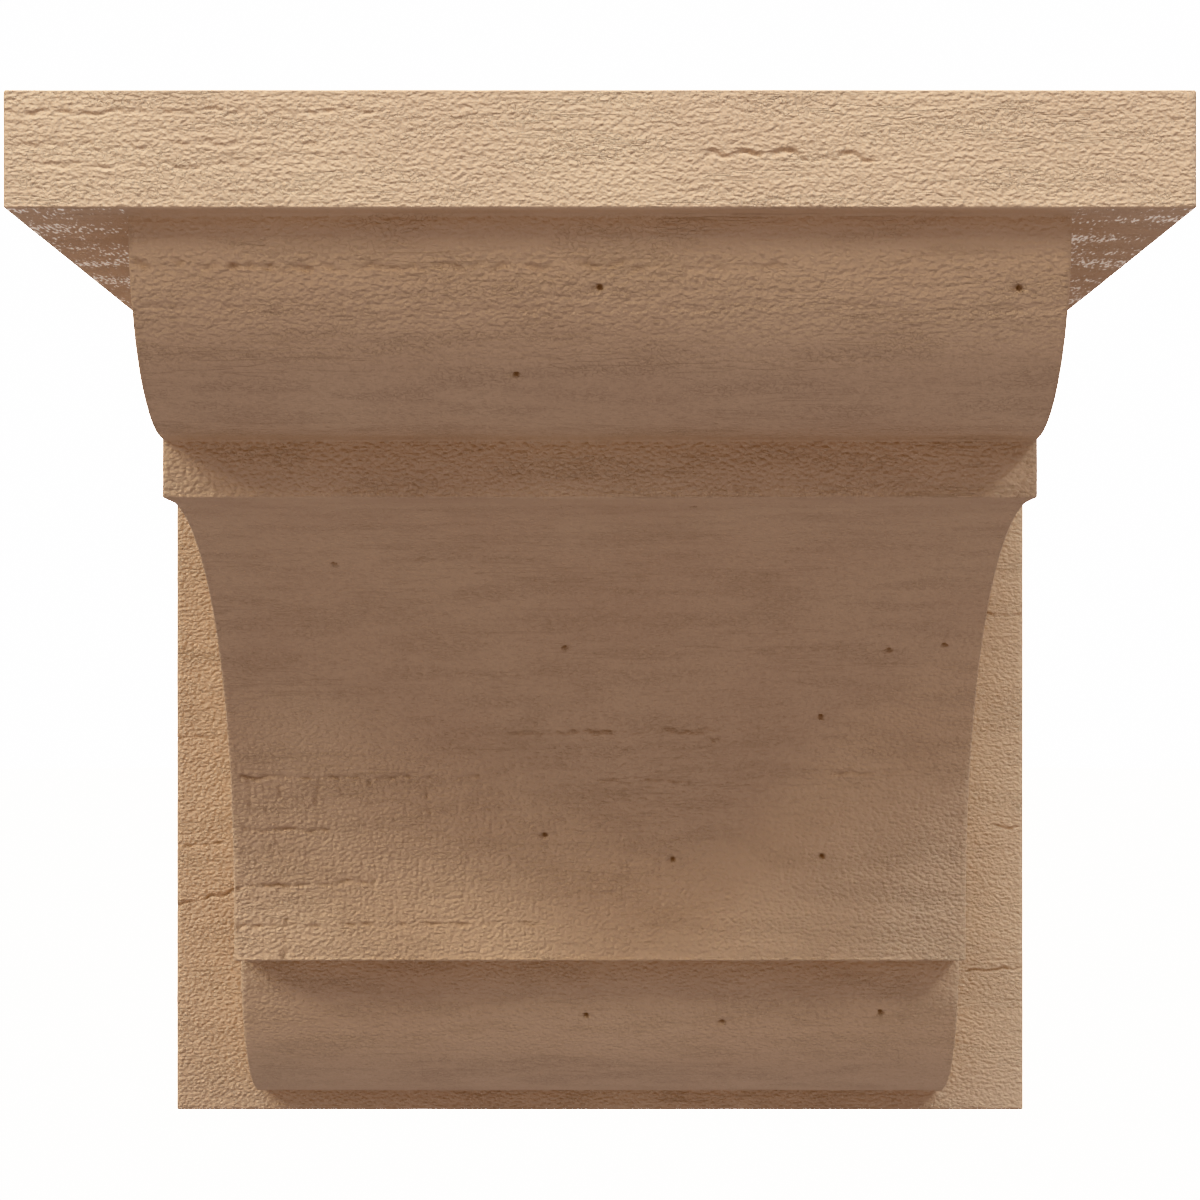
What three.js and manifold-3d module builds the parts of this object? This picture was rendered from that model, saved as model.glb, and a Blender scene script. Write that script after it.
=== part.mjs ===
// A wall corbel, moulded in one piece: a square cap plate, a square wall plate and, between them,
// a narrower bracket body whose side outline steps in from the cap to the foot.
// Millimetres, +Z up, the front faces -Y. The origin is the middle of the flat wall face.
import * as THREE from "three";
import { mergeVertices } from "three/addons/utils/BufferGeometryUtils.js";
import Module from "manifold-3d";

// Overall sizes
const WIDTH = 254; // cap plate and wall plate, side to side
const PROJECTION = 254; // wall face to the front of the cap plate
const HEIGHT = 254; // foot of the wall plate to the top of the cap plate

// Plates
const CAP_THICKNESS = 25.4;
const WALL_PLATE_THICKNESS = 25.4;
const SIDE_REVEAL = 25.4; // each side of the body stands back this far from the plates' sides

// Side outline of the body, from the top down
const FRONT_REVEAL = 6.35; // the crown stands back this far from the front of the cap plate
const CROWN_RADIUS = 44.45; // convex quarter round under the cap plate
const FILLET_HEIGHT = 13.5; // upright band below the crown
const FILLET_SOFFIT = 10.7; // flat underside of that band, back to the cove
const APRON_HEIGHT = 11.2; // upright band below the cove
const LEDGE_SOFFIT = 14; // flat underside of the apron, back to the toe
const TOE_RADIUS = 44.45; // convex quarter round that dies into the wall plate
const FOOT_STRIP = 6.35; // wall plate left bare below the toe

// Making
const EMBED = 12; // the body's outline runs on this far inside both plates, so they join solidly
const ARC_FACETS = 72; // straight facets in each quarter round, an even number

// Heights and depths that the outline passes through
const top = HEIGHT / 2;
const foot = -HEIGHT / 2;
const capUnderside = top - CAP_THICKNESS;
const capFront = -PROJECTION;
const wallPlateFace = -WALL_PLATE_THICKNESS;
const crownFront = capFront + FRONT_REVEAL;
const filletFace = crownFront + CROWN_RADIUS;
const filletTop = capUnderside - CROWN_RADIUS;
const filletFoot = filletTop - FILLET_HEIGHT;
const coveFront = filletFace + FILLET_SOFFIT;
const toeFoot = foot + FOOT_STRIP;
const ledge = toeFoot + TOE_RADIUS;
const coveFoot = ledge + APRON_HEIGHT;
const toeFront = wallPlateFace - TOE_RADIUS;
const apronFace = toeFront - LEDGE_SOFFIT;

// Cap plate and wall plate as one upside-down L, seen from the side.
function platesOutline() {
  const outline = new THREE.Shape();
  outline.moveTo(capFront, top);
  outline.lineTo(capFront, capUnderside);
  outline.lineTo(wallPlateFace, capUnderside);
  outline.lineTo(wallPlateFace, foot);
  outline.lineTo(0, foot);
  outline.lineTo(0, top);
  outline.closePath();
  return outline;
}

// The body seen from the side. The cove is a quarter of an ellipse that fills what the other
// members leave between them, which at these sizes is a quarter circle.
function bodyOutline() {
  const coveRun = apronFace - coveFront;
  const coveRise = filletFoot - coveFoot;
  const insideCap = capUnderside + Math.min(EMBED, CAP_THICKNESS / 2);
  const insidePlate = wallPlateFace + Math.min(EMBED, WALL_PLATE_THICKNESS / 2);
  const outline = new THREE.Shape();
  outline.moveTo(crownFront, insideCap);
  outline.lineTo(crownFront, capUnderside);
  outline.absarc(filletFace, capUnderside, CROWN_RADIUS, Math.PI, Math.PI * 1.5, false);
  outline.lineTo(filletFace, filletFoot);
  outline.lineTo(coveFront, filletFoot);
  outline.absellipse(coveFront, coveFoot, coveRun, coveRise, Math.PI / 2, 0, true);
  outline.lineTo(apronFace, ledge);
  outline.lineTo(toeFront, ledge);
  outline.absarc(wallPlateFace, ledge, TOE_RADIUS, Math.PI, Math.PI * 1.5, false);
  outline.lineTo(insidePlate, toeFoot);
  outline.lineTo(insidePlate, insideCap);
  outline.closePath();
  return outline;
}

// Runs a side outline straight across the corbel, centred on its width.
function extrudeAcross(outline, width) {
  const geometry = new THREE.ExtrudeGeometry(outline, {
    depth: width,
    bevelEnabled: false,
    curveSegments: ARC_FACETS / 2, // a round gets two facets for each of these
  });
  geometry.translate(0, 0, -width / 2);
  const outlineToWorld = new THREE.Matrix4().makeBasis(
    new THREE.Vector3(0, 1, 0),
    new THREE.Vector3(0, 0, 1),
    new THREE.Vector3(1, 0, 0),
  );
  return geometry.applyMatrix4(outlineToWorld);
}

const wasm = await Module();
wasm.setup();

// A closed geometry as a solid that can be joined to another.
function toSolid(geometry) {
  const bare = geometry.clone();
  bare.deleteAttribute("normal");
  bare.deleteAttribute("uv");
  const merged = mergeVertices(bare, 1e-4);
  return new wasm.Manifold(
    new wasm.Mesh({
      numProp: 3,
      vertProperties: merged.getAttribute("position").array,
      triVerts: new Uint32Array(merged.index.array),
    }),
  );
}

// A solid as a geometry with flat faces.
function toGeometry(solid) {
  const mesh = solid.getMesh();
  const geometry = new THREE.BufferGeometry();
  geometry.setAttribute("position", new THREE.BufferAttribute(mesh.vertProperties, 3));
  geometry.setIndex(new THREE.BufferAttribute(mesh.triVerts, 1));
  const flat = geometry.toNonIndexed();
  flat.computeVertexNormals();
  return flat;
}

// The whole corbel: the body standing between the plates, joined into one casting.
function makeCorbel() {
  const plates = toSolid(extrudeAcross(platesOutline(), WIDTH));
  const body = toSolid(extrudeAcross(bodyOutline(), WIDTH - 2 * SIDE_REVEAL));
  const primer = new THREE.MeshStandardMaterial({
    name: "tan_primer",
    color: 0xdbbfa2,
    roughness: 0.85,
    metalness: 0,
  });
  const corbel = new THREE.Mesh(toGeometry(plates.add(body)), primer);
  corbel.name = "corbel";
  return corbel;
}

const part = new THREE.Group();
part.name = "wall_corbel";
part.add(makeCorbel());

export default part;
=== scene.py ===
"""A moulded wall corbel with a rough-sawn timber face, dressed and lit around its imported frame."""

import logging
import math
from dataclasses import dataclass, field
from enum import Enum
from typing import Callable, Optional

import bpy
import numpy as np
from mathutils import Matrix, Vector
from mathutils.kdtree import KDTree


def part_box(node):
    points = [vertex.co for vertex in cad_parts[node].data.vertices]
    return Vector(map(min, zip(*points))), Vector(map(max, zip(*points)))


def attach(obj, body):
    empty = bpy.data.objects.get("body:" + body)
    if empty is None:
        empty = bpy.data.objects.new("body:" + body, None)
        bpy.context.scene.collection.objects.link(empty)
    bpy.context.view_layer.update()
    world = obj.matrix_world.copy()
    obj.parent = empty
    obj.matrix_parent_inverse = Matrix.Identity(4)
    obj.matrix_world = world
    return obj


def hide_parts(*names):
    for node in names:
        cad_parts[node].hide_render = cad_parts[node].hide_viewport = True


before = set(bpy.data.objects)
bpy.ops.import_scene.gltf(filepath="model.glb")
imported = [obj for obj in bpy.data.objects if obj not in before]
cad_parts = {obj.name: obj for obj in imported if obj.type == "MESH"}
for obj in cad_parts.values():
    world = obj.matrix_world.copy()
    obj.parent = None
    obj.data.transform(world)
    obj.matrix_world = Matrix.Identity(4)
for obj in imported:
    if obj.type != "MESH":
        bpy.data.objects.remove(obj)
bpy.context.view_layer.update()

log = logging.getLogger("corbel")

MM = 0.001
SEED = 11

# How far each noise is moved from the others
LAYER_SHIFT = 7.3
PEBBLE_SHIFT = 21.9  # all pebble layers hold the same pebbles, so a patch only makes them deeper
CLUMP_SHIFT = 31.0
SHIFT_OUT_AND_UP = (0.43, 0.78)  # the shares of a move that also go along Y and Z

# Values of the clump noise where a layer is calm and where it has its full depth
CALM_BELOW = 0.44
FULL_ABOVE = 0.64

# Shares of a face's normal along an axis
FACING = 0.5  # the face looks that way
NEARLY_SQUARE = 0.9
SQUARE = 0.9999  # the face is flat and square to the axis


def add_node(tree: bpy.types.NodeTree, kind: str, settings: dict, inputs: dict) -> bpy.types.Node:
    """Adds a node, sets it and links or fills its inputs.

    Args:
        tree: The shader or geometry node tree that takes the node.
        kind: The node's type name.
        settings: The node's own properties, by name.
        inputs: A socket to link or a value to set, by the input's name or number.

    Returns:
        The new node.
    """
    made = tree.nodes.new(kind)
    for name, value in settings.items():
        setattr(made, name, value)
    for name, value in inputs.items():
        if isinstance(value, bpy.types.NodeSocket):
            tree.links.new(value, made.inputs[name])
        else:
            made.inputs[name].default_value = value
    return made


def linear(code: str) -> tuple[float, float, float, float]:
    """Turns an sRGB hex colour such as "c8a788" into linear red, green, blue and alpha."""
    parts = [int(code[i : i + 2], 16) / 255 for i in (0, 2, 4)]
    curve = [p / 12.92 if p <= 0.04045 else ((p + 0.055) / 1.055) ** 2.4 for p in parts]
    return (curve[0], curve[1], curve[2], 1.0)


class Carrier(Enum):
    """What holds a layer of the texture: the mesh itself, the material's bump, or the bump together
    with painted shade, a darker colour in its depth."""

    MESH = "mesh"
    BUMP = "bump"
    CREVICE = "crevice"


class Pattern(Enum):
    """What a layer of the texture is made of: soft noise, rounded pebbles, or the thin lines where
    the noise passes its middle."""

    NOISE = "noise"
    PEBBLES = "pebbles"
    LINES = "lines"


class Plane(Enum):
    """The world axis that a set of cuts is square to."""

    ACROSS = 0
    OUT = 1
    UP = 2


@dataclass(frozen=True)
class Patch:
    """A stretch of the front where a layer shows, in millimetres across and up, fading at its rim."""

    across: float
    up: float
    half_width: float
    half_height: float
    fade: float


@dataclass(frozen=True)
class Layer:
    """One layer of the sawn texture: noise drawn out along the grain.

    Sizes are in millimetres: the length of a mark along the grain and across it, and how deep it
    goes from the crests. Low and high are the noise values that count as crest and as hollow.
    Clumps give the size of the stretches where the layer comes and goes, and calm is the share of
    it that is left between them.
    """

    name: str
    carrier: Carrier
    along: float
    across: float
    depth: float
    detail: float = 1.0
    roughness: float = 0.5
    low: float = 0.3
    high: float = 0.7
    pattern: Pattern = Pattern.NOISE
    clumps: Optional[tuple[float, float]] = None
    calm: float = 0.3
    upright: bool = False
    patch: Optional[Patch] = None


@dataclass(frozen=True)
class Gouge:
    """A mark pressed into the skin, in millimetres: it runs from one place to the other, seen from
    the front as across and up, and wanders to each side. Its width is measured from its middle."""

    start: tuple[float, float]
    end: tuple[float, float]
    width: float = 0.6
    depth: float = 0.55
    wander: float = 1.2


SAWN_LAYERS = (
    Layer("board waves", Carrier.MESH, along=70.0, across=30.0, depth=0.12),
    Layer("saw lines", Carrier.MESH, along=45.0, across=3.0, depth=0.14, detail=2.0),
    Layer(
        "torn grain",
        Carrier.MESH,
        along=5.0,
        across=2.4,
        depth=0.15,
        detail=1.5,
        clumps=(45.0, 6.0),
    ),
    Layer(
        "pebbled grit",
        Carrier.BUMP,
        along=1.3,
        across=0.95,
        depth=0.18,
        low=0.0,
        high=0.8,
        pattern=Pattern.PEBBLES,
        clumps=(26.0, 6.0),
        calm=0.7,
    ),
    Layer("grit", Carrier.BUMP, along=1.15, across=0.85, depth=0.28, low=0.2, high=0.8),
    Layer("fine saw lines", Carrier.BUMP, along=14.0, across=1.0, depth=0.11, low=0.2, high=0.8),
    Layer(
        "rough body grit",
        Carrier.BUMP,
        along=1.3,
        across=0.95,
        depth=0.26,
        low=0.0,
        high=0.8,
        pattern=Pattern.PEBBLES,
        patch=Patch(across=-20.0, up=-48.0, half_width=115.0, half_height=120.0, fade=30.0),
    ),
    Layer(
        "rough crown band",
        Carrier.BUMP,
        along=1.8,
        across=1.1,
        depth=0.42,
        low=0.2,
        high=0.8,
        patch=Patch(across=0.0, up=85.0, half_width=101.0, half_height=7.0, fade=4.0),
    ),
    Layer(
        "upright saw marks",
        Carrier.BUMP,
        along=16.0,
        across=1.1,
        depth=0.20,
        low=0.2,
        high=0.8,
        upright=True,
        patch=Patch(across=-46.0, up=-40.0, half_width=58.0, half_height=26.0, fade=14.0),
    ),
    Layer(
        "torn crevices",
        Carrier.CREVICE,
        along=1.6,
        across=1.1,
        depth=0.10,
        low=0.475,
        high=0.5,
        pattern=Pattern.LINES,
        clumps=(26.0, 6.0),
        calm=0.0,
    ),
    Layer(
        "hairline checks",
        Carrier.CREVICE,
        along=50.0,
        across=4.5,
        depth=0.10,
        detail=3.0,
        roughness=0.6,
        low=0.491,
        high=0.5,
        pattern=Pattern.LINES,
        clumps=(34.0, 12.0),
        calm=0.0,
    ),
)

# Checks and pits seen on the front: places across and up from the middle of the corbel.
PLATE_CHECKS = (
    Gouge((-127.0, -65.5), (-108.0, -61.0), depth=0.9),
    Gouge((-127.0, -48.0), (-109.0, -47.0), depth=0.7),
    Gouge((-127.0, -15.5), (-113.0, -14.8), depth=0.6),
    Gouge((108.0, -41.0), (127.0, -42.5), depth=0.7),
    Gouge((109.0, -86.0), (127.0, -84.0), depth=0.7),
    Gouge((110.0, 22.0), (127.0, 21.0), depth=0.6),
)
BODY_CHECKS = (
    Gouge((-100.5, -55.5), (-62.0, -54.2), depth=0.9),
    Gouge((-100.5, -66.6), (-12.0, -65.8), depth=0.7),
    Gouge((-87.3, -64.8), (-87.8, -75.5), depth=0.9, wander=0.7),
    Gouge((-98.5, -25.2), (-33.0, -24.6), depth=0.8),
    Gouge((-96.0, -25.6), (-96.6, -33.0), depth=0.6, wander=0.9),
    Gouge((-88.5, -25.4), (-88.0, -31.0), depth=0.5, wander=0.9),
    Gouge((-77.5, -25.2), (-78.2, -34.0), depth=0.6, wander=0.9),
    Gouge((-71.5, -25.0), (-71.0, -30.5), depth=0.5, wander=0.9),
    Gouge((-63.0, -25.0), (-63.6, -33.0), depth=0.6, wander=0.7),
    Gouge((-48.0, -25.0), (-47.2, -35.0), depth=0.6, wander=0.7),
    Gouge((-98.5, -39.6), (-74.0, -39.9), depth=0.7),
    Gouge((-25.0, -12.8), (44.0, -11.6), depth=0.8),
    Gouge((0.0, -25.6), (25.0, -26.2), depth=0.5),
    Gouge((20.0, -11.6), (33.0, -14.2), depth=0.8, wander=2.6),
    Gouge((-51.0, 32.0), (-39.0, 31.0), depth=0.6, wander=3.0),
    Gouge((60.0, -24.0), (92.0, -23.0), depth=0.5),
    Gouge((-100.0, 81.8), (101.0, 82.2), width=1.0, depth=0.2, wander=1.6),
    Gouge((-100.0, 90.9), (-62.0, 90.3), width=0.9, depth=1.0, wander=2.0),
    Gouge((-60.0, 90.6), (40.0, 90.9), width=0.8, depth=0.5, wander=2.0),
)
CAP_CHECKS = (
    Gouge((-127.0, 122.1), (-48.0, 122.4), width=0.6, depth=0.35, wander=1.6),
    Gouge((-127.0, 114.9), (-60.0, 115.3), width=0.7, depth=0.3, wander=1.6),
    Gouge((-127.0, 110.6), (-70.0, 111.0), width=0.7, depth=0.3, wander=1.6),
    Gouge((22.0, 113.0), (58.0, 112.6), width=0.7, depth=0.6, wander=2.4),
)
PINHOLES = (
    (-18.5, 68.6),
    (-68.0, 31.0),
    (22.5, 43.0),
    (-9.4, 10.1),
    (77.0, 9.5),
    (91.6, 10.8),
    (60.0, -8.4),
    (-15.3, -41.1),
    (20.2, -47.9),
    (61.5, -47.1),
    (34.9, -95.6),
    (79.7, -92.7),
    (-3.9, -93.6),
    (-0.1, 86.2),
    (90.6, 86.0),
)


@dataclass(frozen=True)
class PrimedFoam:
    """Rigid polyurethane foam under one coat of matte tan primer.

    The mould's sawn texture gives the eye a dry, even colour broken only by shading: no grain
    colour shows, a thicker coat reads slightly paler than a thin one, and there is no shine beyond a
    faint chalky one. Torn crevices, checks and pinholes carry painted shade, a darker colour in
    their depth. Under the cap plate, pale glints in stretches, which glow faintly, are painted
    highlights of the torn grain there.

    Names that end in mm are sizes in millimetres. A range gives the values of a noise between
    which one colour gives way to the other.
    """

    thick: str = "dec2a5"
    thin: str = "d9bca0"
    mottle_mm: float = 38.0
    mottle_detail: float = 2.0
    mottle_range: tuple[float, float] = (0.3, 0.7)
    # Painted shade: the darker colour in torn crevices, checks and pinholes, and how much of it they take
    crevice: str = "7a563e"
    torn_full_mm: float = 0.14
    torn_shade_share: float = 0.14
    mark_shade_share: float = 0.35
    # Painted highlights: pale glints under the cap plate, with their colour, size, stretches and glow
    painted_glint_colour: str = "fbf0e2"
    glint_mm: tuple[float, float, float] = (0.7, 2.6, 0.7)
    glint_shift: float = 57.0
    stretch_mm: tuple[float, float, float] = (30.0, 14.0, 30.0)
    stretch_shift: float = 71.0
    stretch_weight: float = 0.6
    glint_range: tuple[float, float] = (0.88, 0.98)
    glint: float = 0.22
    roughness: float = 0.8
    ior: float = 1.45

    def build(self) -> bpy.types.Material:
        """Makes the material with its colour and its fine bump."""
        material = bpy.data.materials.new("primed_polyurethane_foam")
        material.use_nodes = True
        tree = material.node_tree
        shader = tree.nodes["Principled BSDF"]
        place = add_node(tree, "ShaderNodeTexCoord", {}, {}).outputs["Object"]
        end_face = add_node(
            tree, "ShaderNodeAttribute", {"attribute_name": "end_face"}, {}
        ).outputs["Fac"]
        height = relief_height(tree, place, end_face, Carrier.BUMP)
        # The crevice layers give a bump and also the depth that sets their painted shade
        torn = relief_height(tree, place, end_face, Carrier.CREVICE)
        whole = add_node(
            tree, "ShaderNodeMath", {"operation": "ADD"}, {0: height, 1: torn}
        ).outputs[0]
        bump = add_node(
            tree,
            "ShaderNodeBump",
            {"invert": True},
            {"Strength": 1.0, "Distance": MM, "Height": whole},
        )
        mottle = add_node(
            tree,
            "ShaderNodeTexNoise",
            {},
            {"Vector": place, "Scale": 1 / (self.mottle_mm * MM), "Detail": self.mottle_detail},
        ).outputs["Fac"]
        low, high = self.mottle_range
        share = add_node(
            tree, "ShaderNodeMapRange", {}, {"Value": mottle, "From Min": low, "From Max": high}
        ).outputs["Result"]
        colour = add_node(
            tree,
            "ShaderNodeMix",
            {"data_type": "RGBA"},
            {"Factor": share, 6: linear(self.thick), 7: linear(self.thin)},
        ).outputs[2]
        # Painted shade: torn crevices, checks and pinholes get a darker colour in their depth
        painted_crevice_shade = add_node(
            tree,
            "ShaderNodeMapRange",
            {},
            {"Value": torn, "From Max": self.torn_full_mm, "To Max": self.torn_shade_share},
        ).outputs["Result"]
        mark = add_node(
            tree, "ShaderNodeAttribute", {"attribute_name": "mark_depth"}, {}
        ).outputs["Fac"]
        depth = add_node(
            tree,
            "ShaderNodeMath",
            {"operation": "MULTIPLY_ADD", "use_clamp": True},
            {0: mark, 1: self.mark_shade_share, 2: painted_crevice_shade},
        ).outputs[0]
        colour = add_node(
            tree,
            "ShaderNodeMix",
            {"data_type": "RGBA"},
            {"Factor": depth, 6: colour, 7: linear(self.crevice)},
        ).outputs[2]
        # Painted highlights: pale glints mixed into the colour under the cap plate
        painted_glints = self.painted_glint_share(tree, place)
        with_painted_glints = add_node(
            tree,
            "ShaderNodeMix",
            {"data_type": "RGBA"},
            {"Factor": painted_glints, 6: colour, 7: linear(self.painted_glint_colour)},
        ).outputs[2]
        tree.links.new(with_painted_glints, shader.inputs["Base Color"])
        # The painted glints also glow faintly, though they are no lamp
        glint = add_node(
            tree, "ShaderNodeMath", {"operation": "MULTIPLY"}, {0: painted_glints, 1: self.glint}
        ).outputs[0]
        tree.links.new(glint, shader.inputs["Emission Strength"])
        shader.inputs["Emission Color"].default_value = linear(self.painted_glint_colour)
        tree.links.new(bump.outputs["Normal"], shader.inputs["Normal"])
        shader.inputs["Roughness"].default_value = self.roughness
        shader.inputs["IOR"].default_value = self.ior
        shader.inputs["Metallic"].default_value = 0.0
        return material

    def painted_glint_share(
        self, tree: bpy.types.NodeTree, place: bpy.types.NodeSocket
    ) -> bpy.types.NodeSocket:
        """Adds the painted glints, pale and faintly glowing, on the faces that are marked for them, under
        the cap plate.

        Args:
            tree: The material's node tree.
            place: The point on the surface, in metres.

        Returns:
            The share, from 0 to 1, of painted glint at a point.
        """
        painted_glints = drawn_out_noise(tree, place, self.glint_mm, self.glint_shift, detail=2.0)
        stretches = drawn_out_noise(tree, place, self.stretch_mm, self.stretch_shift)
        both = add_node(
            tree,
            "ShaderNodeMath",
            {"operation": "MULTIPLY_ADD"},
            {0: stretches, 1: self.stretch_weight, 2: painted_glints},
        ).outputs[0]
        low, high = self.glint_range
        glinting = add_node(
            tree, "ShaderNodeMapRange", {}, {"Value": both, "From Min": low, "From Max": high}
        ).outputs["Result"]
        marked = add_node(
            tree, "ShaderNodeAttribute", {"attribute_name": "with_painted_glints"}, {}
        ).outputs["Fac"]
        return add_node(
            tree, "ShaderNodeMath", {"operation": "MULTIPLY"}, {0: glinting, 1: marked}
        ).outputs[0]


def drawn_out_noise(
    tree: bpy.types.NodeTree,
    grain: bpy.types.NodeSocket,
    size: tuple[float, float, float],
    shift: float,
    detail: float = 1.0,
    roughness: float = 0.5,
    pattern: Pattern = Pattern.NOISE,
) -> bpy.types.NodeSocket:
    """Adds noise, pebbles or thin lines whose marks have a real size.

    Args:
        tree: The node tree to build in.
        grain: The point on the surface, turned so that X runs along the grain, in metres.
        size: How long a mark is along each axis, in millimetres.
        shift: How far the pattern is moved.
        detail: How many finer octaves are added.
        roughness: How strong they are.
        pattern: Soft noise, rounded pebbles or thin lines.

    Returns:
        The noise, about 0.5 in the middle, how near a pebble's rim a point lies, or 0.5 on a line
        and less beside it.
    """
    out, up = SHIFT_OUT_AND_UP
    scaled = add_node(
        tree,
        "ShaderNodeVectorMath",
        {"operation": "MULTIPLY_ADD"},
        {0: grain, 1: [1 / (s * MM) for s in size], 2: (SEED + shift, out * shift, up * shift)},
    ).outputs["Vector"]
    if pattern is Pattern.PEBBLES:
        return add_node(
            tree, "ShaderNodeTexVoronoi", {}, {"Vector": scaled, "Scale": 1.0}
        ).outputs["Distance"]
    noise = add_node(
        tree,
        "ShaderNodeTexNoise",
        {},
        {"Vector": scaled, "Scale": 1.0, "Detail": detail, "Roughness": roughness},
    ).outputs["Fac"]
    if pattern is Pattern.NOISE:
        return noise
    return add_node(
        tree, "ShaderNodeMath", {"operation": "PINGPONG"}, {0: noise, 1: 0.5}
    ).outputs[0]


def patch_share(
    tree: bpy.types.NodeTree, split: bpy.types.Node, patch: Patch
) -> bpy.types.NodeSocket:
    """Adds the share, from 0 to 1, that a patch of the front gives at a point."""
    shares = []
    extents = (("X", patch.across, patch.half_width), ("Z", patch.up, patch.half_height))
    for axis, middle, half in extents:
        offset = add_node(
            tree,
            "ShaderNodeMath",
            {"operation": "SUBTRACT"},
            {0: split.outputs[axis], 1: middle * MM},
        ).outputs[0]
        gap = add_node(tree, "ShaderNodeMath", {"operation": "ABSOLUTE"}, {0: offset}).outputs[0]
        shares.append(
            add_node(
                tree,
                "ShaderNodeMapRange",
                {"interpolation_type": "SMOOTHSTEP"},
                {
                    "Value": gap,
                    "From Min": half * MM,
                    "From Max": (half + patch.fade) * MM,
                    "To Min": 1.0,
                    "To Max": 0.0,
                },
            ).outputs["Result"]
        )
    return add_node(
        tree, "ShaderNodeMath", {"operation": "MULTIPLY"}, {0: shares[0], 1: shares[1]}
    ).outputs[0]


def relief_height(
    tree: bpy.types.NodeTree,
    place: bpy.types.NodeSocket,
    end_face: bpy.types.NodeSocket,
    carrier: Carrier,
) -> bpy.types.NodeSocket:
    """Adds up the layers of the sawn texture that one carrier holds.

    Args:
        tree: The shader or geometry node tree to build in.
        place: The point on the surface, in metres.
        end_face: 1 on faces that look sideways, where the grain runs front to back, and 0 elsewhere.
        carrier: Which layers to take.

    Returns:
        The depth below the crests, in millimetres.
    """
    split = add_node(tree, "ShaderNodeSeparateXYZ", {}, {"Vector": place})
    turned = add_node(
        tree,
        "ShaderNodeCombineXYZ",
        {},
        {"X": split.outputs["Y"], "Y": split.outputs["X"], "Z": split.outputs["Z"]},
    ).outputs["Vector"]
    grain = add_node(
        tree, "ShaderNodeMix", {"data_type": "VECTOR"}, {"Factor": end_face, 4: place, 5: turned}
    ).outputs[1]
    total: Optional[bpy.types.NodeSocket] = None
    for number, layer in enumerate(SAWN_LAYERS):
        if layer.carrier is not carrier:
            continue
        size = (layer.along, layer.across, layer.across)
        if layer.upright:
            size = (layer.across, layer.across, layer.along)
        shift = PEBBLE_SHIFT if layer.pattern is Pattern.PEBBLES else LAYER_SHIFT * number
        noise = drawn_out_noise(
            tree, grain, size, shift, layer.detail, layer.roughness, layer.pattern
        )
        depth = add_node(
            tree,
            "ShaderNodeMapRange",
            {},
            {"Value": noise, "From Min": layer.low, "From Max": layer.high, "To Max": layer.depth},
        ).outputs["Result"]
        if layer.clumps is not None:
            long, wide = layer.clumps
            coming = drawn_out_noise(tree, grain, (long, wide, wide), CLUMP_SHIFT + long)
            share = add_node(
                tree,
                "ShaderNodeMapRange",
                {"interpolation_type": "SMOOTHSTEP"},
                {
                    "Value": coming,
                    "From Min": CALM_BELOW,
                    "From Max": FULL_ABOVE,
                    "To Min": layer.calm,
                    "To Max": 1.0,
                },
            ).outputs["Result"]
            depth = add_node(
                tree, "ShaderNodeMath", {"operation": "MULTIPLY"}, {0: depth, 1: share}
            ).outputs[0]
        if layer.patch is not None:
            share = patch_share(tree, split, layer.patch)
            depth = add_node(
                tree, "ShaderNodeMath", {"operation": "MULTIPLY"}, {0: depth, 1: share}
            ).outputs[0]
        if total is None:
            total = depth
        else:
            total = add_node(
                tree, "ShaderNodeMath", {"operation": "ADD"}, {0: total, 1: depth}
            ).outputs[0]
    return total


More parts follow.
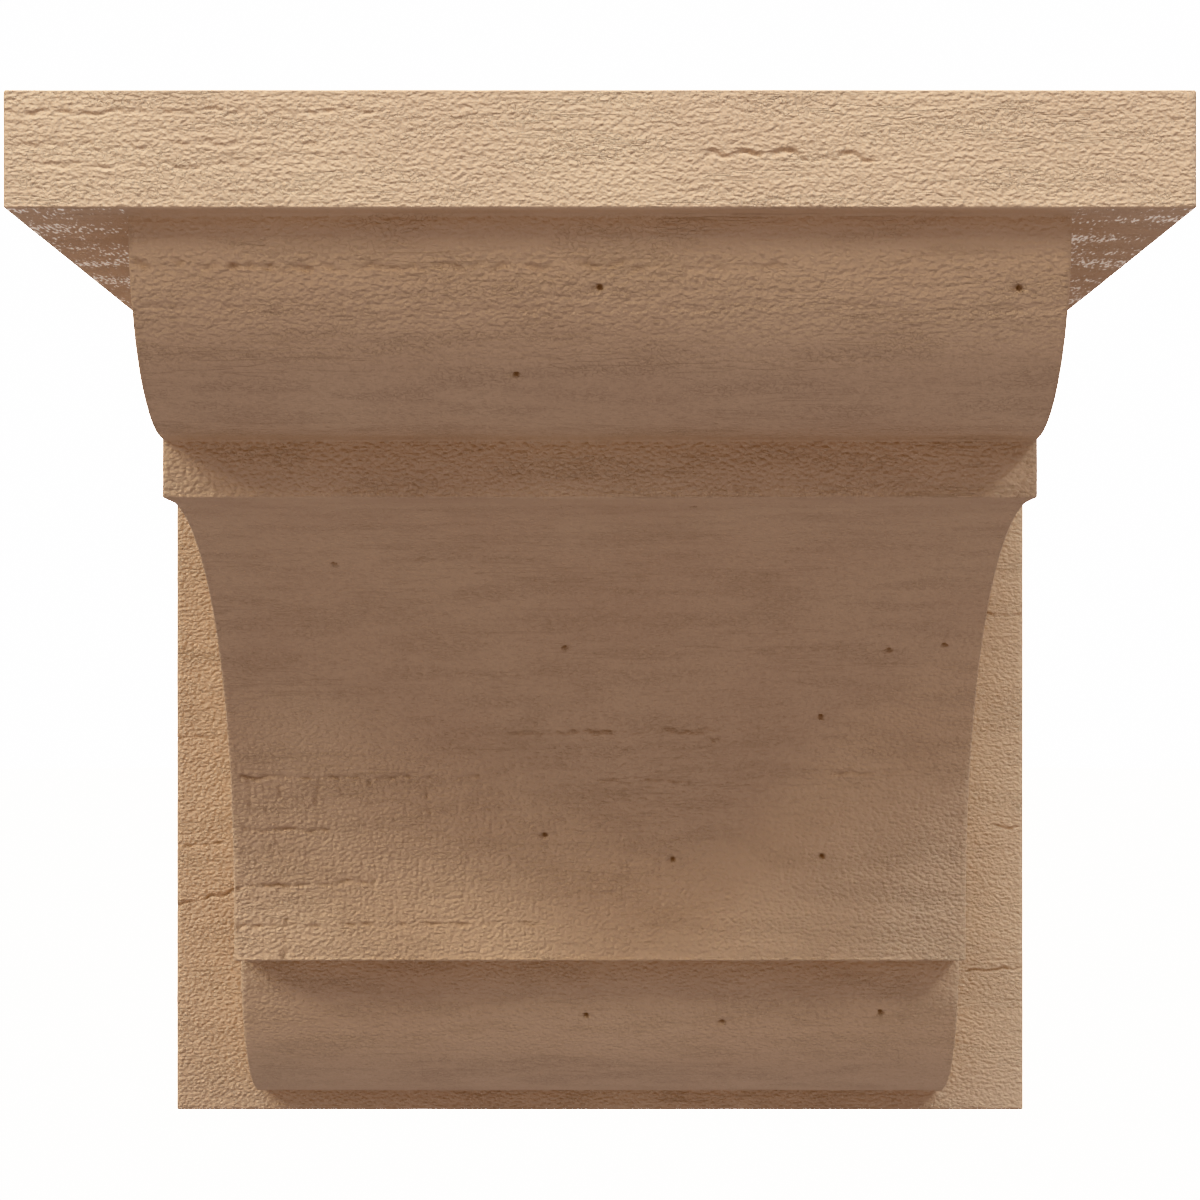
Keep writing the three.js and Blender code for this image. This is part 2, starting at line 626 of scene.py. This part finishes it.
@dataclass
class Corbel:
    """The one casting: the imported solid's own shape, cut into a fine skin and given its sawn relief.

    Sizes are in metres, but for those that end in mm, which are millimetres as the marks' are.
    Rows are the heights of the skin's faces on each member.
    """

    node: str = "corbel"
    plate: float = 25.4 * MM
    body_edge: float = 101.6 * MM
    loose_gap: float = 0.01 * MM
    flat_angle: float = math.radians(0.3)
    corner_angle: float = math.radians(30)
    smooth_angle: float = math.radians(50)
    shortest_cove_row: float = 1.5 * MM
    longest_cove_row: float = 3.5 * MM
    arris: float = 0.38 * MM
    arris_relief: float = 0.35
    arris_full: float = 0.4
    sideways: float = 0.6
    column: float = 1.68 * MM
    cap_row: float = 0.56 * MM
    plate_row: float = 0.80 * MM
    band_row: float = 0.90 * MM
    soffit_row: float = 1.9 * MM
    underside_row: float = 2.3 * MM
    hidden_step: float = 5.0 * MM
    side_step: float = 3.8 * MM
    wall_step: float = 8.0 * MM
    reach: float = 1.0 * MM
    mark_reach: float = 1.2 * MM
    mark_cuts: int = 2
    pinhole_mm: float = 0.9
    pit_mm: float = 1.5
    walk_mm: float = 0.4
    bend_mm: float = 2.2
    break_mm: float = 2.0
    break_floor: float = -0.15
    skin: Optional[bpy.types.Object] = field(default=None, init=False)

    def build(self) -> bpy.types.Object:
        """Makes the whole visible corbel.

        Returns:
            The finished object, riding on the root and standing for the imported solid.
        """
        self.copy_casting()
        self.split_cove()
        self.soften_arrises()
        self.cut_hidden_faces()
        self.cut_front_faces()
        self.press_marks()
        self.mark_faces()
        self.raise_relief()
        self.skin.data.materials.clear()
        self.skin.data.materials.append(PrimedFoam().build())
        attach(self.skin, "root")
        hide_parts(self.node)
        return self.skin

    def copy_casting(self) -> None:
        """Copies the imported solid, joins its loose triangles and clears the lines inside flat faces."""
        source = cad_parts[self.node]
        bpy.ops.object.select_all(action="DESELECT")
        self.skin = source.copy()
        self.skin.data = source.data.copy()
        self.skin.name = "corbel_skin"
        self.skin.parent = None
        bpy.context.collection.objects.link(self.skin)
        self.skin.select_set(True)
        bpy.context.view_layer.objects.active = self.skin
        bpy.ops.object.mode_set(mode="EDIT")
        bpy.ops.mesh.select_all(action="SELECT")
        bpy.ops.mesh.remove_doubles(threshold=self.loose_gap)
        bpy.ops.mesh.dissolve_limited(angle_limit=self.flat_angle)
        bpy.ops.object.mode_set(mode="OBJECT")

    def face_table(self) -> tuple[np.ndarray, np.ndarray]:
        """Reads the centre and the normal of every face."""
        faces = self.skin.data.polygons
        centres = np.empty(len(faces) * 3)
        normals = np.empty(len(faces) * 3)
        faces.foreach_get("center", centres)
        faces.foreach_get("normal", normals)
        return centres.reshape(-1, 3), normals.reshape(-1, 3)

    def split_cove(self) -> None:
        """Halves the rows of the cove, which are longer than those of the two rounds."""
        mesh = self.skin.data
        bpy.ops.object.mode_set(mode="EDIT")
        bpy.ops.mesh.select_mode(type="EDGE")
        bpy.ops.mesh.select_all(action="DESELECT")
        bpy.ops.object.mode_set(mode="OBJECT")
        for edge in mesh.edges:
            a, b = (mesh.vertices[i].co for i in edge.vertices)
            edge.select = self.shortest_cove_row < (a - b).length < self.longest_cove_row
        bpy.ops.object.mode_set(mode="EDIT")
        bpy.ops.mesh.subdivide(number_cuts=1)
        bpy.ops.object.mode_set(mode="OBJECT")

    def soften_arrises(self) -> None:
        """Cuts a narrow chamfer along every corner, as a mould leaves it."""
        bpy.ops.object.mode_set(mode="EDIT")
        bpy.ops.mesh.select_mode(type="EDGE")
        bpy.ops.mesh.select_all(action="DESELECT")
        bpy.ops.mesh.edges_select_sharp(sharpness=self.corner_angle)
        bpy.ops.mesh.bevel(offset=self.arris, segments=1, affect="EDGES", clamp_overlap=False)
        bpy.ops.object.mode_set(mode="OBJECT")
        faces = self.skin.data.polygons
        chamfered = np.empty(len(faces), dtype=bool)
        faces.foreach_get("select", chamfered)
        marks = self.skin.data.attributes.new("arris", "FLOAT", "FACE")
        marks.data.foreach_set("value", chamfered.astype(float))
        log.info("corners softened: %d chamfer faces", int(chamfered.sum()))

    def slice_faces(
        self,
        chosen: Callable[[np.ndarray, np.ndarray], np.ndarray],
        plane: Plane,
        low: float,
        high: float,
        step: float,
    ) -> None:
        """Cuts some faces into even strips.

        Args:
            chosen: Takes the faces' centres and normals, and says which of them are cut.
            plane: The axis that the cuts are square to.
            low: Where the first strip starts along that axis.
            high: Where the last strip ends.
            step: About how wide a strip is.
        """
        mesh = self.skin.data
        centres, normals = self.face_table()
        picked = chosen(centres, normals)
        bpy.ops.object.mode_set(mode="EDIT")
        bpy.ops.mesh.select_mode(type="FACE")
        bpy.ops.mesh.select_all(action="DESELECT")
        bpy.ops.object.mode_set(mode="OBJECT")
        mesh.polygons.foreach_set("select", picked)
        bpy.ops.object.mode_set(mode="EDIT")
        bpy.ops.mesh.hide(unselected=True)
        square = [0.0, 0.0, 0.0]
        square[plane.value] = 1.0
        strips = max(1, round((high - low) / step))
        for i in range(1, strips):
            place = [0.0, 0.0, 0.0]
            place[plane.value] = low + (high - low) * i / strips
            bpy.ops.mesh.select_all(action="SELECT")
            bpy.ops.mesh.bisect(plane_co=place, plane_no=square, threshold=1e-6)
        bpy.ops.mesh.reveal(select=False)
        bpy.ops.object.mode_set(mode="OBJECT")
        log.info("cut %s into %d strips: %d faces", plane.name, strips, len(mesh.polygons))

    def cut_hidden_faces(self) -> None:
        """Cuts the top, the wall face, the foot and all sides into wide squares."""
        (x0, y0, z0), (x1, y1, z1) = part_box(self.node)
        self.slice_faces(lambda c, n: n[:, 2] > FACING, Plane.ACROSS, x0, x1, self.hidden_step)
        self.slice_faces(lambda c, n: n[:, 2] > FACING, Plane.OUT, y0, y1, self.hidden_step)
        self.slice_faces(lambda c, n: n[:, 1] > FACING, Plane.ACROSS, x0, x1, self.wall_step)
        self.slice_faces(lambda c, n: n[:, 1] > FACING, Plane.UP, z0, z1, self.wall_step)

        def foot(c: np.ndarray, n: np.ndarray) -> np.ndarray:
            """Picks the wall plate's underside."""
            return (n[:, 2] < -FACING) & (c[:, 2] < z0 + self.reach)

        self.slice_faces(foot, Plane.ACROSS, x0, x1, self.hidden_step)
        self.slice_faces(foot, Plane.OUT, y0, y1, self.hidden_step)
        self.slice_faces(lambda c, n: abs(n[:, 0]) > FACING, Plane.OUT, y0, y1, self.side_step)
        self.slice_faces(lambda c, n: abs(n[:, 0]) > FACING, Plane.UP, z0, z1, self.side_step)

    def cut_front_faces(self) -> None:
        """Cuts every face seen from the front into fine rows, and then all of them into columns."""
        (x0, y0, z0), (x1, y1, z1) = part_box(self.node)
        plate_face = y1 - self.plate
        underside = z1 - self.plate

        def cap_front(c: np.ndarray, n: np.ndarray) -> np.ndarray:
            """Picks the cap plate's front."""
            return (n[:, 1] < -FACING) & (c[:, 1] < y0 + self.reach) & (c[:, 2] > underside)

        def plate_front(c: np.ndarray, n: np.ndarray) -> np.ndarray:
            """Picks the wall plate's front."""
            near = c[:, 1] > plate_face - self.reach
            return (n[:, 1] < -FACING) & near & (c[:, 2] < underside)

        def bands(c: np.ndarray, n: np.ndarray) -> np.ndarray:
            """Picks the upright bands above and below the cove."""
            return (n[:, 1] < -SQUARE) & ~cap_front(c, n) & ~plate_front(c, n)

        def cap_underside(c: np.ndarray, n: np.ndarray) -> np.ndarray:
            """Picks the cap plate's underside."""
            level = abs(c[:, 2] - underside) < self.reach
            return (n[:, 2] < -FACING) & level & (abs(n[:, 0]) < NEARLY_SQUARE)

        def soffits(c: np.ndarray, n: np.ndarray) -> np.ndarray:
            """Picks the short flat undersides of the body's bands."""
            return (n[:, 2] < -SQUARE) & (c[:, 2] > z0 + self.reach) & ~cap_underside(c, n)

        def seen(c: np.ndarray, n: np.ndarray) -> np.ndarray:
            """Picks all that faces forwards or downwards, the foot left out."""
            sideways = abs(n[:, 0]) > FACING
            foot = c[:, 2] < z0 + self.arris / 2
            return ~(sideways | (n[:, 1] > FACING) | (n[:, 2] > FACING) | foot)

        self.slice_faces(cap_front, Plane.UP, underside, z1, self.cap_row)
        self.slice_faces(plate_front, Plane.UP, z0, underside, self.plate_row)
        self.slice_faces(bands, Plane.UP, z0, z1, self.band_row)
        self.slice_faces(cap_underside, Plane.OUT, y0, y1, self.underside_row)
        self.slice_faces(soffits, Plane.OUT, y0, y1, self.soffit_row)
        self.slice_faces(seen, Plane.ACROSS, x0, x1, self.column)

    def mark_faces(self) -> None:
        """Marks the faces that look sideways, where the grain runs from front to back, and those
        under the cap plate beside the body, which hold painted glints."""
        centres, normals = self.face_table()
        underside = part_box(self.node)[1][2] - self.plate
        level = abs(centres[:, 2] - underside) < self.reach
        beside = abs(centres[:, 0]) > self.body_edge
        with_painted_glints = (normals[:, 2] < -NEARLY_SQUARE) & level & beside
        marks = self.skin.data.attributes.new("end_face", "FLOAT", "FACE")
        marks.data.foreach_set("value", (abs(normals[:, 0]) > self.sideways).astype(float))
        marks = self.skin.data.attributes.new("with_painted_glints", "FLOAT", "FACE")
        marks.data.foreach_set("value", with_painted_glints.astype(float))

    def press_marks(self) -> None:
        """Refines the skin along each check and round each pinhole, and notes how deep they go."""
        rng = np.random.default_rng(SEED)
        spots: list[tuple[Vector, float, float]] = []
        for gouge in PLATE_CHECKS + BODY_CHECKS + CAP_CHECKS:
            spots += self.follow(gouge, rng)
        for place in PINHOLES:
            spots += self.follow(Gouge(place, place, self.pinhole_mm, self.pit_mm), rng)
        tree = KDTree(len(spots))
        for i, (place, _, _) in enumerate(spots):
            tree.insert(place, i)
        tree.balance()
        mesh = self.skin.data
        centres, _ = self.face_table()
        near = [tree.find(c)[2] < self.mark_reach for c in centres]
        bpy.ops.object.mode_set(mode="EDIT")
        bpy.ops.mesh.select_mode(type="FACE")
        bpy.ops.mesh.select_all(action="DESELECT")
        bpy.ops.object.mode_set(mode="OBJECT")
        mesh.polygons.foreach_set("select", near)
        bpy.ops.object.mode_set(mode="EDIT")
        bpy.ops.mesh.subdivide(number_cuts=self.mark_cuts)
        bpy.ops.object.mode_set(mode="OBJECT")
        depths = np.zeros(len(mesh.vertices))
        for number, vertex in enumerate(mesh.vertices):
            _, i, gap = tree.find(vertex.co)
            _, width, depth = spots[i]
            depths[number] = depth * max(0.0, 1.0 - (gap / (width * MM)) ** 2)
        marks = mesh.attributes.new("mark_depth", "FLOAT", "POINT")
        marks.data.foreach_set("value", depths)
        log.info("marks pressed: %d faces", len(mesh.polygons))

    def follow(self, gouge: Gouge, rng: np.random.Generator) -> list[tuple[Vector, float, float]]:
        """Walks along a mark on the skin, seen from the front.

        Args:
            gouge: The mark.
            rng: Gives the wandering and the changing depth.

        Returns:
            The places on the skin, in metres, each with the mark's half width and depth there.
        """
        start, end = np.array(gouge.start), np.array(gouge.end)
        run = float(np.linalg.norm(end - start))
        steps = max(1, math.ceil(run / self.walk_mm))
        bends = rng.uniform(-1, 1, 2 + int(run / self.bend_mm))
        breaks = rng.uniform(self.break_floor, 1.0, 2 + int(run / self.break_mm)).clip(0.0)
        sideways = np.array((start[1] - end[1], end[0] - start[0])) / max(run, 1.0)
        found = []
        for i in range(steps):
            share = i / steps
            bend = np.interp(share, np.linspace(0, 1, len(bends)), bends)
            deep = np.interp(share, np.linspace(0, 1, len(breaks)), breaks) if run else 1.0
            across, up = start + (end - start) * share + sideways * bend * gouge.wander / 2
            before = (across * MM, -1.0, up * MM)
            hit, place, _, _ = self.skin.ray_cast(before, (0.0, 1.0, 0.0))
            if hit:
                found.append((place, gouge.width, gouge.depth * deep))
        return found

    def raise_relief(self) -> None:
        """Sinks the skin below its crests by the sawn texture's depth, along its own normals."""
        tree = bpy.data.node_groups.new("sawn_relief", "GeometryNodeTree")
        tree.interface.new_socket("Geometry", in_out="INPUT", socket_type="NodeSocketGeometry")
        tree.interface.new_socket("Geometry", in_out="OUTPUT", socket_type="NodeSocketGeometry")
        start = add_node(tree, "NodeGroupInput", {}, {})
        place = add_node(tree, "GeometryNodeInputPosition", {}, {}).outputs["Position"]
        normal = add_node(tree, "GeometryNodeInputNormal", {}, {}).outputs["Normal"]
        mark = add_node(
            tree, "GeometryNodeInputNamedAttribute", {"data_type": "FLOAT"}, {"Name": "end_face"}
        ).outputs["Attribute"]
        end_face = add_node(
            tree, "ShaderNodeMath", {"operation": "GREATER_THAN"}, {0: mark, 1: self.sideways}
        ).outputs[0]
        marks = add_node(
            tree, "GeometryNodeInputNamedAttribute", {"data_type": "FLOAT"}, {"Name": "mark_depth"}
        ).outputs["Attribute"]
        arris = add_node(
            tree, "GeometryNodeInputNamedAttribute", {"data_type": "FLOAT"}, {"Name": "arris"}
        ).outputs["Attribute"]
        kept = add_node(
            tree,
            "ShaderNodeMapRange",
            {},
            {
                "Value": arris,
                "From Max": self.arris_full,
                "To Min": 1.0,
                "To Max": self.arris_relief,
            },
        ).outputs["Result"]
        texture = relief_height(tree, place, end_face, Carrier.MESH)
        height = add_node(
            tree, "ShaderNodeMath", {"operation": "MULTIPLY_ADD"}, {0: texture, 1: kept, 2: marks}
        ).outputs[0]
        inward = add_node(
            tree, "ShaderNodeMath", {"operation": "MULTIPLY"}, {0: height, 1: -MM}
        ).outputs[0]
        offset = add_node(
            tree, "ShaderNodeVectorMath", {"operation": "SCALE"}, {0: normal, "Scale": inward}
        ).outputs["Vector"]
        moved = add_node(
            tree,
            "GeometryNodeSetPosition",
            {},
            {"Geometry": start.outputs["Geometry"], "Offset": offset},
        )
        add_node(tree, "NodeGroupOutput", {}, {"Geometry": moved.outputs["Geometry"]})
        modifier = self.skin.modifiers.new("sawn_relief", "NODES")
        modifier.node_group = tree
        bpy.ops.object.modifier_apply(modifier=modifier.name)
        bpy.ops.object.shade_smooth_by_angle(angle=self.smooth_angle)
        log.info("relief applied: %d faces", len(self.skin.data.polygons))


class Cast(Enum):
    """The slight cast of a lamp's light, as red, green and blue."""

    COOL = (0.86, 1.05, 1.12)
    PLAIN = (1.0, 1.0, 1.0)
    CREAM = (1.0, 1.01, 0.88)
    WARM = (1.10, 0.98, 0.74)
    AMBIENT = (1.10, 0.957, 0.965)


@dataclass(frozen=True)
class Lamp:
    """One lamp of the studio: degrees right of the front and above level, its strength, and the
    slight cast of its light."""

    name: str
    right: float
    above: float
    strength: float
    cast: Cast


@dataclass
class Studio:
    """The pale floor and backdrop, the lamps and the camera. Sizes are in metres."""

    picture: int = 1200
    focal_pixels: float = 2617.0
    level_row: float = 686.5
    middle_column: float = 599.95
    camera_distance: float = 0.8103
    floor_height: float = -0.30
    backdrop_radius: float = 9.0
    dome_share: float = 1.1
    backdrop_glow: float = 12.0
    lamp_angle: float = math.radians(9)
    lamp_distance: float = 2.0
    ambient: float = 0.366
    energy: float = 3.0
    lamps: tuple[Lamp, ...] = (
        Lamp("overhead", 10, 65, 0.238, Cast.COOL),
        Lamp("top_right", 35, 62, 0.190, Cast.COOL),
        Lamp("top_left", -20, 65, 0.087, Cast.COOL),
        Lamp("left_high", -65, 60, 0.192, Cast.COOL),
        Lamp("key_left", -65, 42, 0.260, Cast.CREAM),
        Lamp("left_low", -62, 30, 0.185, Cast.WARM),
        Lamp("front_left", -42, 40, 0.066, Cast.WARM),
        Lamp("right_high", 60, 48, 0.158, Cast.COOL),
        Lamp("front_right", 32, 36, 0.122, Cast.WARM),
        Lamp("below", 0, -60, 0.029, Cast.PLAIN),
    )

    def build(self) -> None:
        """Sets up the stage, the lamps and the camera."""
        self.lay_stage()
        for lamp in self.lamps:
            self.hang_lamp(lamp)
        self.light_room()
        self.place_camera()

    def lay_stage(self) -> None:
        """Makes a wide pale floor below the corbel and a plain dome far behind everything."""
        bpy.ops.mesh.primitive_circle_add(
            vertices=96,
            radius=self.backdrop_radius,
            fill_type="NGON",
            location=(0, 0, self.floor_height),
        )
        floor = bpy.context.active_object
        floor.name = "floor"
        floor.data.materials.append(self.glowing("pale_floor", "fbfaf8"))
        bpy.ops.mesh.primitive_uv_sphere_add(
            segments=48, ring_count=24, radius=self.backdrop_radius * self.dome_share
        )
        dome = bpy.context.active_object
        dome.name = "backdrop"
        dome.data.materials.append(self.glowing("white_backdrop", "fefefe"))
        for piece in (floor, dome):
            piece.visible_diffuse = False
            piece.visible_glossy = False
            piece.visible_shadow = False

    def plain(self, name: str, colour: str) -> bpy.types.Material:
        """Makes a matte material of one colour for the stage."""
        material = bpy.data.materials.new(name)
        material.use_nodes = True
        shader = material.node_tree.nodes["Principled BSDF"]
        shader.inputs["Base Color"].default_value = linear(colour)
        shader.inputs["Roughness"].default_value = 1.0
        shader.inputs["Specular IOR Level"].default_value = 0.0
        return material

    def glowing(self, name: str, colour: str) -> bpy.types.Material:
        """Makes an even light-coloured backdrop that needs no lamp."""
        material = self.plain(name, "000000")
        shader = material.node_tree.nodes["Principled BSDF"]
        shader.inputs["Emission Color"].default_value = linear(colour)
        shader.inputs["Emission Strength"].default_value = self.backdrop_glow
        return material

    def hang_lamp(self, lamp: Lamp) -> None:
        """Hangs one soft distant lamp."""
        right, above = math.radians(lamp.right), math.radians(lamp.above)
        towards = Vector(
            (
                math.sin(right) * math.cos(above),
                -math.cos(right) * math.cos(above),
                math.sin(above),
            )
        )
        data = bpy.data.lights.new(lamp.name, "SUN")
        data.energy = self.energy * lamp.strength
        data.color = lamp.cast.value
        data.angle = self.lamp_angle
        holder = bpy.data.objects.new(lamp.name, data)
        holder.rotation_euler = towards.to_track_quat("Z", "Y").to_euler()
        holder.location = towards * self.lamp_distance
        bpy.context.collection.objects.link(holder)

    def light_room(self) -> None:
        """Gives the room its even light from all round."""
        world = bpy.data.worlds.new("studio")
        bpy.context.scene.world = world
        world.use_nodes = True
        backing = world.node_tree.nodes["Background"]
        backing.inputs["Color"].default_value = (*Cast.AMBIENT.value, 1.0)
        backing.inputs["Strength"].default_value = self.ambient
        bpy.context.scene.view_settings.view_transform = "Khronos PBR Neutral"

    def place_camera(self) -> None:
        """Stands the camera level with the corbel's middle, with the picture shifted down."""
        data = bpy.data.cameras.new("camera")
        camera = bpy.data.objects.new("camera", data)
        bpy.context.collection.objects.link(camera)
        camera.location = (0, -self.camera_distance, 0)
        camera.rotation_euler = (math.radians(90), 0, 0)
        half = self.picture / 2
        data.sensor_width = 36.0
        data.lens = data.sensor_width * self.focal_pixels / self.picture
        data.shift_x = (half - self.middle_column) / self.picture
        data.shift_y = (self.level_row - half) / self.picture
        data.clip_start = 0.01
        bpy.context.scene.camera = camera


def main() -> None:
    """Builds the corbel and its studio."""
    logging.basicConfig(level=logging.INFO, format="%(name)s: %(message)s")
    skin = Corbel().build()
    log.info("corbel: %d faces", len(skin.data.polygons))
    Studio().build()
    log.info("studio ready")


if __name__ == "__main__":
    main()
